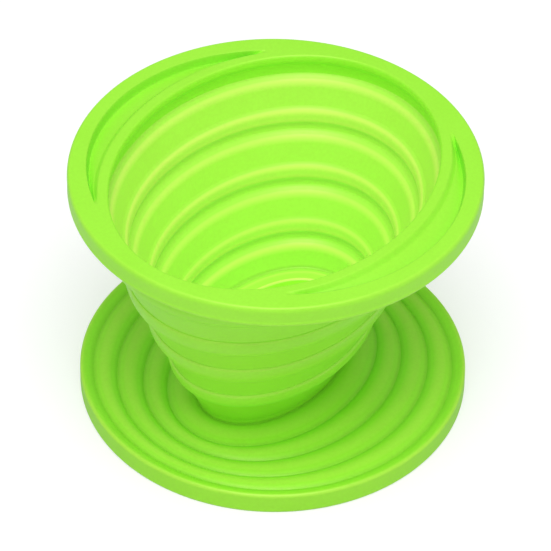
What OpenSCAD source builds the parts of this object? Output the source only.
// Collapsible pour-over coffee dripper moulded in soft silicone.
// An oval funnel of stepped rings hangs from a round rim and stands on a round
// base plate with ripples. The rings are joined by flexible folds that turn
// inside out, so that the rings nest and the dripper closes flat.
// Frame: origin at the centre of the underside, +Z up, +X along the long axis
// of the oval funnel. Millimetres.

/* [Overall] */
// Outer diameter of the round top rim
rim_d = 125; // [125:0.5:128]
// Outer diameter of the round base
base_d = 120.4; // [120.4:0.4:124]
// Height from the table to the top of the rim when open
height = 85.6; // [85:0.2:87]

/* [Rim] */
// Height of the rim's outer skirt
rim_skirt_h = 6.8; // [6:0.2:8]
// Thickness of the rim's outer skirt
rim_skirt_t = 2.6; // [2.4:0.1:2.6]
// Thickness of the flat land and the pocket floors together
rim_plate_t = 4; // [3.6:0.1:4.4]
// Depth of the two crescent pockets at their outer edge
pocket_depth = 2.8; // [1:0.1:3]
// Radius of the arc along each pocket's outer edge
pocket_arc_r = 53.6; // [53:0.1:54.2]
// Distance of that arc's centre from the middle of the dripper
pocket_arc_y = 3.9; // [3.4:0.1:4.2]
// Half-axis along X of the oval that bounds the pockets on the inside
pocket_in_a = 60.5; // [60:0.1:61.5]
// Half-axis along Y of the same oval
pocket_in_b = 50; // [49.6:0.1:50.6]

/* [Funnel] */
// Half the difference between the oval's long and short half-axes, inside
oval_in = 5.3; // [5.2:0.05:5.4]
// The same for the outer surface
oval_out = 5.7; // [5.6:0.05:5.75]
// Wall thickness at the hinge lines, measured level
hinge_t = 1.1; // [1:0.05:1.2]
// How far each fold bulges out below its hinge line
bulge = 0.45; // [0.3:0.05:0.5]

/* [Fold 1] */
// Mean inner radius of the top hinge line
hinge_r_1 = 52.6; // [52.4:0.05:52.65]
// Height of the top hinge line
hinge_z_1 = 77.9; // [77.7:0.1:78.1]
// How far its outer side sits below its inner side
hinge_drop_1 = 0.9; // [0.8:0.1:1.1]
// Mean inner radius where the fold meets the ring below it
nose_r_1 = 47.35; // [47.15:0.05:47.55]
// Height where the fold meets the ring below it, inside
nose_z_1 = 69.1; // [68.9:0.1:69.3]
// Mean outer radius of the crease under the rounded fold
crease_r_1 = 50.2; // [50.05:0.05:50.35]
// Height of the crease under the rounded fold
crease_z_1 = 70.2; // [70:0.1:70.4]

/* [Fold 2] */
// Mean inner radius of the second hinge line
hinge_r_2 = 45.9; // [45.7:0.05:46.1]
// Height of the second hinge line
hinge_z_2 = 61; // [60.8:0.1:61.2]
// How far its outer side sits below its inner side
hinge_drop_2 = 0.9; // [0.8:0.1:1.1]
// Mean inner radius where the fold meets the ring below it
nose_r_2 = 40.4; // [40.2:0.05:40.6]
// Height where the fold meets the ring below it, inside
nose_z_2 = 52.2; // [52:0.1:52.4]
// Mean outer radius of the crease under the rounded fold
crease_r_2 = 44.2; // [44.05:0.05:44.35]
// Height of the crease under the rounded fold
crease_z_2 = 52.3; // [52.1:0.1:52.5]

/* [Fold 3] */
// Mean inner radius of the third hinge line
hinge_r_3 = 39.2; // [39:0.05:39.4]
// Height of the third hinge line
hinge_z_3 = 43.8; // [43.6:0.1:44]
// How far its outer side sits below its inner side
hinge_drop_3 = 0.9; // [0.8:0.1:1.1]
// Mean inner radius where the fold meets the ring below it
nose_r_3 = 33.7; // [33.5:0.05:33.9]
// Height where the fold meets the ring below it, inside
nose_z_3 = 35.3; // [35.1:0.1:35.5]
// Mean outer radius of the crease under the rounded fold
crease_r_3 = 37.85; // [37.7:0.05:38]
// Height of the crease under the rounded fold
crease_z_3 = 35.7; // [35.5:0.1:35.9]

/* [Fold 4] */
// Mean inner radius of the lowest hinge line
hinge_r_4 = 32.9; // [32.7:0.05:33.1]
// Height of the lowest hinge line
hinge_z_4 = 27; // [26.8:0.1:27.2]
// How far its outer side sits below its inner side
hinge_drop_4 = 0.9; // [0.8:0.1:1.1]
// Mean inner radius where the fold meets the ring below it
nose_r_4 = 28.8; // [28.6:0.05:29]
// Height where the fold meets the ring below it, inside
nose_z_4 = 18.9; // [18.7:0.1:19.1]
// Mean outer radius of the crease under the rounded fold
crease_r_4 = 31.8; // [31.65:0.05:31.95]
// Height of the crease under the rounded fold
crease_z_4 = 19.9; // [19.7:0.1:20.1]

/* [Floor] */
// Mean radius of the funnel's floor
floor_r = 22.2; // [21.8:0.1:22.6]
// Height of the floor's top
floor_z = 18; // [17.8:0.1:18.2]
// Thickness of the floor
floor_t = 2; // [1.6:0.1:2.2]
// Diameter of the drip holes
drip_d = 5; // [3:0.5:8]
// Distance between neighbouring drip holes
drip_pitch = 14; // [10:0.5:16]

/* [Base] */
// Height of the base's outer skirt
base_h = 7.1; // [7:0.1:7.6]
// Thickness of the base's outer skirt
base_skirt_t = 2.6; // [2.4:0.1:2.6]
// Height of the base plate's flat underside, which sits on the mug
seat_z = 2.6; // [2:0.1:2.8]
// Mean outer radius of the foot where it meets the base plate
foot_r = 25.4; // [25:0.1:25.6]
// Half-axis along X of the inner groove in the base plate
groove_a_1 = 39.5; // [38.9:0.1:40.1]
// Half-axis along Y of the inner groove
groove_b_1 = 29.1; // [28.5:0.1:29.7]
// Height of the bottom of the inner groove
groove_z_1 = 4.7; // [4.4:0.1:4.9]
// Half-axis along X of the middle groove in the base plate
groove_a_2 = 44.9; // [44.3:0.1:45.5]
// Half-axis along Y of the middle groove
groove_b_2 = 38; // [37.4:0.1:38.6]
// Height of the bottom of the middle groove
groove_z_2 = 4.6; // [4.3:0.1:4.8]
// Half-axis along X of the outer groove in the base plate
groove_a_3 = 51; // [50.4:0.1:51.6]
// Half-axis along Y of the outer groove
groove_b_3 = 47.4; // [46.8:0.1:48]
// Height of the bottom of the outer groove
groove_z_3 = 5; // [4.7:0.1:5.2]
// Height of a ripple above the groove next to it
ripple_h = 1.1; // [0.6:0.1:1.3]

/* [Hidden] */
// Segments round the oval, and round the turned rim and skirt
segments = 72;
round_segments = 180;
rim_r = rim_d/2;
base_r = base_d/2;
land_r = rim_r - rim_skirt_t;      // round joint between rim plate and rim ring
plate_r = base_r - base_skirt_t;   // round joint between base plate and skirt
plate_z = height - rim_plate_t;    // underside of the rim plate
plate_edge_z = 6.6;                // top of the joint between base plate and skirt
foot_joint_z = 5.6;                // top of the joint between foot and base plate
collar_top_r = 52.5;               // mean inner radius of the joint between collar and rim plate
lime = [0.62, 0.95, 0.29];
lime_flex = [0.68, 0.98, 0.34];
lime_base = [0.50, 0.86, 0.24];

// ---- section points and lofts ----------------------------------------------
// A section point is [half-axis along X, half-axis along Y, height].

function inner_point(r, z) = [r + oval_in, r - oval_in, z];
function outer_point(r, z) = [r + oval_out, r - oval_out, z];
function round_point(r, z) = [r, r, z];
function shift(point, out, up) = point + [out, out, up];
function lerp(from, to, fraction) = from + (to - from)*fraction;

// place of a section point at one angle, and the whole ring it makes
function spot(point, angle) = [point[0]*cos(angle), point[1]*sin(angle), point[2]];
function ring(point) = [for (i = [0:segments-1]) spot(point, 360*i/segments)];

// rank of a ring, by height and then by radius
function rank(ring) = ring[0][2] + 0.01*ring[0][0];

// Closed tube through rings of points; the section runs anticlockwise in (radius, height).
// Each four-sided patch is split from its higher ring to its lower one, so that two solids
// which share a patch split it the same way and meet without a gap or an overlap.
module loft_rings(rings) {
    count = len(rings);
    polyhedron(
        points = [for (ring = rings) each ring],
        faces = [for (k = [0:count-1]) for (i = [0:segments-1])
            let (k_next = (k+1)%count, i_next = (i+1)%segments,
                 here = k*segments + i, here_next = k*segments + i_next,
                 far = k_next*segments + i, far_next = k_next*segments + i_next)
            each rank(rings[k]) >= rank(rings[k_next])
                ? [[here, far, far_next], [here, far_next, here_next]]
                : [[here, far, here_next], [far, far_next, here_next]]],
        convexity = 8);
}
module loft(section) { loft_rings([for (point = section) ring(point)]); }

// ---- joints between folds and rings, numbered 0 to 3 from the top -----------

hinge_r = [hinge_r_1, hinge_r_2, hinge_r_3, hinge_r_4];
hinge_z = [hinge_z_1, hinge_z_2, hinge_z_3, hinge_z_4];
hinge_drop = [hinge_drop_1, hinge_drop_2, hinge_drop_3, hinge_drop_4];
nose_r = [nose_r_1, nose_r_2, nose_r_3, nose_r_4];
nose_z = [nose_z_1, nose_z_2, nose_z_3, nose_z_4];
crease_r = [crease_r_1, crease_r_2, crease_r_3, crease_r_4];
crease_z = [crease_z_1, crease_z_2, crease_z_3, crease_z_4];

function hinge_in(k) = inner_point(hinge_r[k], hinge_z[k]);
function hinge_out(k) = outer_point(hinge_r[k] + hinge_t, hinge_z[k] - hinge_drop[k]);
function nose(k) = inner_point(nose_r[k], nose_z[k]);
function crease(k) = outer_point(crease_r[k], crease_z[k]);

// ---- rim -------------------------------------------------------------------

// round outer ring of the rim: rounded top edge, skirt turned down
rim_round = 1.8;
module rim_ring() color(lime) let (skirt_z = height - rim_skirt_h)
    rotate_extrude($fn = round_segments)
    polygon(concat(
        [[land_r, skirt_z + 0.3], [land_r + 0.5, skirt_z],
         [rim_r - 0.4, skirt_z], [rim_r - 0.05, skirt_z + 0.4]],
        [for (i = [0:6])
            [rim_r - rim_round + rim_round*cos(15*i), height - rim_round + rim_round*sin(15*i)]],
        [[land_r, height]]));

// The land is drawn along lines that run from the round joint with the rim to the oval mouth,
// one line for each angle. A crescent pocket lies between the arc and the oval that bound it.
mouth_r = 53.1;           // mean radius where the land rolls over into the mouth
land_inset = 0.4;         // the lines start this far inside the joint
pocket_limits = [0.1, 0.85];     // range of the pocket's edges, as fractions of a line
pocket_mid_limits = [0.2, 0.75]; // range of its middle
pocket_min_half = 0.07;   // least half-width, as a fraction of a line
pocket_full_width = 2.4;  // a pocket at least this wide has its full depth
pocket_slope_out = 0.9;   // widths of the sloping sides, level
pocket_slope_in = 1.1;

function clamp(x, limits) = max(limits[0], min(limits[1], x));

// fraction of a line at which it first crosses a circle about the origin, or the fallback
// when it misses
function crossing(start, run, radius, fallback) =
    let (square = run*run, linear = 2*(start*run),
         discriminant = linear*linear - 4*square*(start*start - radius*radius))
    discriminant < 0 ? fallback : (-linear - sqrt(discriminant))/(2*square);
// the pocket oval scaled to a unit circle
function unit_oval(place) = [place[0]/pocket_in_a, place[1]/pocket_in_b, 0];

// closed section of the rim plate at one angle; the line itself is laid out at height 0
function plate_section(angle) =
    let (start = spot(round_point(land_r - land_inset, 0), angle),
         run = spot(inner_point(mouth_r, 0), angle) - start,
         run_length = norm(run),
         arc_centre = [0, sign(sin(angle))*pocket_arc_y, 0],
         arc_cross = clamp(crossing(start - arc_centre, run, pocket_arc_r, 2), pocket_limits),
         oval_cross = clamp(crossing(unit_oval(start), unit_oval(run), 1, -1), pocket_limits),
         gap = oval_cross - arc_cross,
         depth = pocket_depth*clamp(gap*run_length/pocket_full_width, [0, 1]),
         middle = clamp((arc_cross + oval_cross)/2, pocket_mid_limits),
         half = max(gap/2, pocket_min_half),
         edge_out = middle - half,
         edge_in = middle + half,
         max_slope = 0.3*(edge_in - edge_out),
         slope_out = min(pocket_slope_out/run_length, max_slope),
         slope_in = pocket_slope_in/run_length,
         // [fraction of the line, height]
         top = [[edge_out, height],
                [edge_out + slope_out, height - depth],
                [edge_in - min(slope_in, max_slope), height - 0.6*depth],
                [edge_in + min(slope_in, 0.4*(1 - edge_in)), height],
                [1, height]])
    concat(
        [spot(inner_point(collar_top_r, plate_z), angle),
         spot(round_point(land_r, plate_z), angle),
         spot(round_point(land_r, height), angle)],
        [for (stop = top) start + run*stop[0] + [0, 0, stop[1]]],
        [spot(inner_point(51.8, height - 0.5), angle),
         spot(inner_point(51.3, height - 1.6), angle),
         spot(inner_point(51.6, height - 2.7), angle)]);

// flat land with two crescent pockets, between the oval mouth and the round rim
module rim_plate() color(lime)
    let (sections = [for (i = [0:segments-1]) plate_section(360*i/segments)])
    loft_rings([for (j = [0:len(sections[0])-1]) [for (section = sections) section[j]]]);

// upright oval wall under the rim
module collar() color(lime) loft([
    inner_point(collar_top_r, plate_z),
    inner_point(52.65, (plate_z + hinge_z[0])/2 - 0.4),
    hinge_in(0),
    hinge_out(0),
    outer_point(hinge_r[0] + 1.35, hinge_z[0] + 0.8),
    outer_point(hinge_r[0] + 1.45, plate_z)]);

// ---- folds and rings -------------------------------------------------------

bead_drop = 1.2;   // the bead is widest this far below the outer hinge line
bead_steps = 5;
// inside of a fold below its hinge line: [out, up]
shoulder_steps = [[-0.4, -0.5], [-1.6, -1.3], [-2.65, -2.5]];
// how far each ring's inside rolls back under the nose
roll = [1.9, 1.8, 1.55];
// inside of a ring below the nose: [fraction of the roll, up]
roll_steps = [[0.45, -0.85], [0.86, -2.2], [1, -4.6]];

// rounded outside of fold k, from the crease up to the hinge line
function bead(k) =
    let (hinge = hinge_out(k), widest = shift(hinge, bulge, -bead_drop), low = crease(k))
    concat(
        [for (i = [bead_steps:-1:0]) let (angle = 90*i/bead_steps)
            [lerp(low[0], widest[0], cos(angle)),
             lerp(low[1], widest[1], cos(angle)),
             lerp(widest[2], low[2], sin(angle))]],
        [hinge]);

// inside of fold k, from the hinge line down to the nose
function shoulder(k) = concat(
    [hinge_in(k)],
    [for (step = shoulder_steps) shift(hinge_in(k), step[0], step[1])],
    [nose(k)]);

// inside wall of the ring below fold k: it rolls over at the nose and runs down, slightly
// undercut, to the next hinge line
function ring_wall(k) = concat(
    [nose(k)],
    [for (step = roll_steps) shift(nose(k), -step[0]*roll[k], step[1])],
    [shift(hinge_in(k+1), 0.33, 1.5), hinge_in(k+1)]);

// flexible fold k: thin at its hinge line, thick where it meets the ring below
module fold(k) color(lime_flex) loft(concat(shoulder(k), bead(k)));

// stiff ring below fold k, ending at hinge line k+1
module wall_ring(k) color(lime) loft(concat(ring_wall(k), [hinge_out(k+1), crease(k)]));

module fold_1() fold(0);
module fold_2() fold(1);
module fold_3() fold(2);
module fold_4() fold(3);
module wall_ring_1() wall_ring(0);
module wall_ring_2() wall_ring(1);
module wall_ring_3() wall_ring(2);

// ---- foot and floor --------------------------------------------------------

// inside of the foot below the lowest nose: [out, up]
foot_steps = [[-0.35, -0.85], [-1.3, -0.95], [-2.4, -0.62]];

// tapered neck between the lowest fold and the base plate, with the rim of the funnel's floor
module foot() color(lime) loft(concat(
    [nose(3)],
    [for (step = foot_steps) shift(nose(3), step[0], step[1])],
    [inner_point(floor_r + 1.3, floor_z + 0.12),
     inner_point(floor_r + 0.7, floor_z + 0.4),
     inner_point(floor_r, floor_z),
     inner_point(floor_r, floor_z - floor_t),
     inner_point(floor_r + 4.2, floor_z - floor_t - 0.8),
     inner_point(foot_r - 2.2, seat_z),
     outer_point(foot_r, seat_z),
     outer_point(foot_r, foot_joint_z),
     outer_point(foot_r + 0.3, 7.6),
     crease(3)]));

// floor of the funnel with three drip holes in a row
module drip_floor() color(lime_flex) difference() {
    translate([0, 0, floor_z - floor_t]) linear_extrude(floor_t)
        polygon([for (place = ring(inner_point(floor_r, 0))) [place[0], place[1]]]);
    for (x = [-drip_pitch, 0, drip_pitch])
        translate([x, 0, floor_z - floor_t - 1]) cylinder(h = floor_t + 2, d = drip_d, $fn = 48);
}

// ---- base ------------------------------------------------------------------

// low lines of the plate's top, from the foot through the three grooves to the outer edge
plate_lows = [
    outer_point(foot_r, foot_joint_z),
    [groove_a_1, groove_b_1, groove_z_1],
    [groove_a_2, groove_b_2, groove_z_2],
    [groove_a_3, groove_b_3, groove_z_3],
    [56.3, 55.9, 5.7]];

// low line k and the two crest points of the ripple inside it; the innermost ripple
// is lower towards the foot
function ripple(k) =
    let (low = plate_lows[k], next = plate_lows[k-1])
    [low,
     shift(lerp(low, next, 0.3), 0, ripple_h*0.9),
     shift(lerp(low, next, 0.65), 0, ripple_h*(k > 1 ? 0.95 : 0.6))];

// rippled plate that rests on the mug: grooves change from oval to round
module base_plate() color(lime_base) loft(concat(
    [outer_point(foot_r, seat_z), round_point(plate_r, seat_z),
     round_point(plate_r, plate_edge_z)],
    [for (k = [4:-1:1]) each ripple(k)],
    [plate_lows[0]]));

// round skirt with a rounded lip; its flat underside stands on the table
module base_skirt() color(lime_base) rotate_extrude($fn = round_segments)
    polygon([
        [plate_r, 0], [base_r - 0.4, 0], [base_r, 0.4],
        [base_r, base_h - 0.9], [base_r - 0.3, base_h - 0.3], [base_r - 0.9, base_h],
        [base_r - 1.7, base_h - 0.05], [plate_r, plate_edge_z]]);

rim_ring();
rim_plate();
collar();
fold_1();
wall_ring_1();
fold_2();
wall_ring_2();
fold_3();
wall_ring_3();
fold_4();
foot();
drip_floor();
base_plate();
base_skirt();
